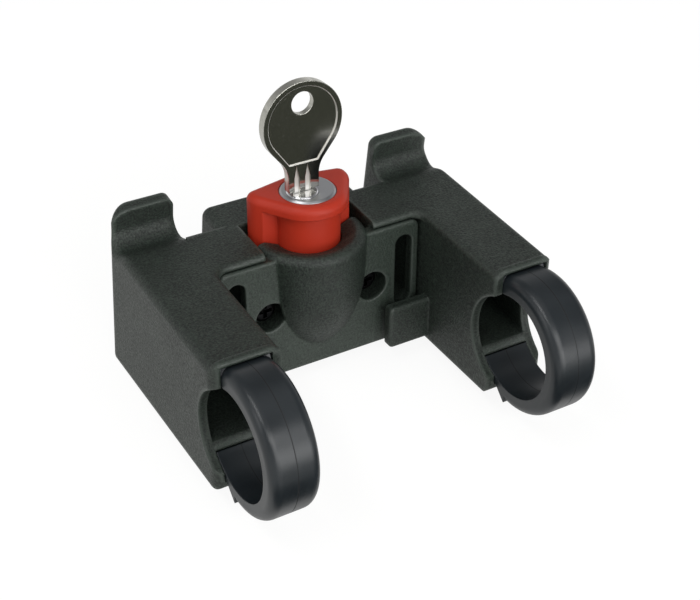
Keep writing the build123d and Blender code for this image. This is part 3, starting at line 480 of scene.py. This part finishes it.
# Nodes whose finish differs from that of their material slot
own_finishes = {
    # Rear cover: its flat face is lightened with painted light
    "rear_cover": moulded_nylon("lit_face_moulded_nylon", COVER_FACE_PAINTED_LIGHT),
    # Dark finish on the two cover screws, deep in their recess, with a dull glint
    "cover_screws": metal(
        "dark_screw_finish", ("1A1A1B", "262627"), patch_mm=2.0, roughness=(0.34, 0.44),
        grain_mm=0.3, grain_strength=0.08, edge_mm=0.10),
}

for part in frame["record"]["subparts"]:
    mesh = nodes[part["node"]].data
    mesh.materials.clear()
    mesh.materials.append(own_finishes.get(part["node"], finishes[part["material_slot"]]))


def spring_coils():
    """The two coil springs as one piece on the housing, in spring steel, in place of the imported
    node.
    """
    coils = bmesh.new()
    coils.from_mesh(nodes["button_springs"].data)
    bmesh.ops.remove_doubles(coils, verts=coils.verts, dist=MERGE_DISTANCE)
    mesh = bpy.data.meshes.new("spring_coils")
    coils.to_mesh(mesh)
    coils.free()
    mesh.materials.clear()
    mesh.materials.append(finishes["spring_steel"])
    piece = bpy.data.objects.new("spring_coils", mesh)
    bpy.context.scene.collection.objects.link(piece)
    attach(piece, "housing")
    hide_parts("button_springs")
    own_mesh(piece)


spring_coils()


def seen_and_mirrored(tree):
    """Two switches: on for rays from the camera, and on for rays that the part mirrors."""
    ray = add(tree, "ShaderNodeLightPath")
    mirrored = add(tree, "ShaderNodeMath", {
        0: ray.outputs["Is Glossy Ray"], 1: ray.outputs["Is Transmission Ray"]},
        operation="MAXIMUM")
    return ray.outputs["Is Camera Ray"], mirrored.outputs[0]


def studio_floor():
    """Pale paper floor: nearly white to the camera, and it keeps the part's soft shadow."""
    bpy.ops.mesh.primitive_plane_add(size=2 * FLOOR_HALF, location=(0, 0, cad_low[2]))
    floor = bpy.context.object
    floor.name = "floor"
    material, tree, output = start_material("white_paper")
    seen, mirrored = seen_and_mirrored(tree)
    mirrored_share = add(tree, "ShaderNodeMath", {
        0: mirrored, 1: FLOOR_GLOW_MIRRORED}, operation="MULTIPLY")
    share = add(tree, "ShaderNodeMath", {
        0: seen, 1: FLOOR_GLOW_SEEN, 2: mirrored_share.outputs[0]}, operation="MULTIPLY_ADD")
    paper = add(tree, "ShaderNodeBsdfDiffuse", {"Color": linear(FLOOR_PAPER)})
    glow = add(tree, "ShaderNodeEmission", {"Color": linear("FFFFFF"), "Strength": FLOOR_GLOW})
    mixed = add(tree, "ShaderNodeMixShader", {
        0: share.outputs[0], 1: paper.outputs["BSDF"], 2: glow.outputs["Emission"]})
    tree.links.new(mixed.outputs["Shader"], output.inputs["Surface"])
    floor.data.materials.append(material)


def reflection_only_card(name, place, width, depth, colour):
    """Dark card over the floor, seen only in reflections: a painted dark reflection, or a painted
    shadow of the part in the bands.
    """
    bpy.ops.mesh.primitive_plane_add(size=1.0, location=(*place, cad_low[2] + CARD_LIFT))
    card = bpy.context.object
    card.name = name
    card.scale = (width, depth, 1.0)
    material, tree, output = start_material(name)
    painted_dark_reflection = add(tree, "ShaderNodeBsdfDiffuse", {"Color": linear(colour)})
    tree.links.new(painted_dark_reflection.outputs["BSDF"], output.inputs["Surface"])
    card.data.materials.append(material)
    card.visible_camera = False
    card.visible_diffuse = False
    card.visible_shadow = False
    card.visible_transmission = False


def soft_lamp(name, place, width, height, watts):
    """One rectangular softbox aimed at the part."""
    lamp = bpy.data.lights.new(name, "AREA")
    lamp.shape = "RECTANGLE"
    lamp.size = width
    lamp.size_y = height
    lamp.energy = watts
    holder = bpy.data.objects.new(name, lamp)
    holder.location = place
    holder.rotation_euler = (LAMP_AIM - Vector(place)).to_track_quat("-Z", "Y").to_euler()
    bpy.context.scene.collection.objects.link(holder)


def studio_world():
    """White to the camera, white to dim in reflections, and a soft even fill for the light."""
    world = bpy.data.worlds.new("studio")
    bpy.context.scene.world = world
    world.use_nodes = True
    tree = world.node_tree
    tree.nodes.clear()
    seen, mirrored = seen_and_mirrored(tree)
    direction = add(tree, "ShaderNodeTexCoord").outputs["Generated"]
    parts = add(tree, "ShaderNodeSeparateXYZ", {"Vector": direction})
    overhead = add(tree, "ShaderNodeMapRange", {
        "Value": parts.outputs["Z"], "From Min": ROOM_LOW, "From Max": ROOM_HIGH,
        "To Min": ROOM_HORIZON, "To Max": ROOM_OVERHEAD})
    fill = add(tree, "ShaderNodeMix", {
        "Factor": mirrored, "A": ROOM_FILL, "B": overhead.outputs["Result"]}, data_type="FLOAT")
    strength = add(tree, "ShaderNodeMath", {
        0: fill.outputs["Result"], 1: seen}, operation="MAXIMUM")
    background = add(tree, "ShaderNodeBackground", {
        "Color": linear("FFFFFF"), "Strength": strength.outputs[0]})
    output = add(tree, "ShaderNodeOutputWorld")
    tree.links.new(background.outputs["Background"], output.inputs["Surface"])


def photo_camera():
    """The photograph's viewpoint."""
    lens = bpy.data.cameras.new("camera")
    lens.lens = LENS_MM
    lens.sensor_width = SENSOR_MM
    holder = bpy.data.objects.new("camera", lens)
    holder.location = CAMERA_PLACE
    holder.rotation_euler = [math.radians(turn) for turn in CAMERA_TURN_DEG]
    bpy.context.scene.collection.objects.link(holder)
    bpy.context.scene.camera = holder


studio_floor()
for lamp_sizes in LAMPS:
    soft_lamp(*lamp_sizes)
for card_sizes in CARDS:
    reflection_only_card(*card_sizes)
studio_world()
photo_camera()
bpy.context.scene.view_settings.view_transform = "Standard"
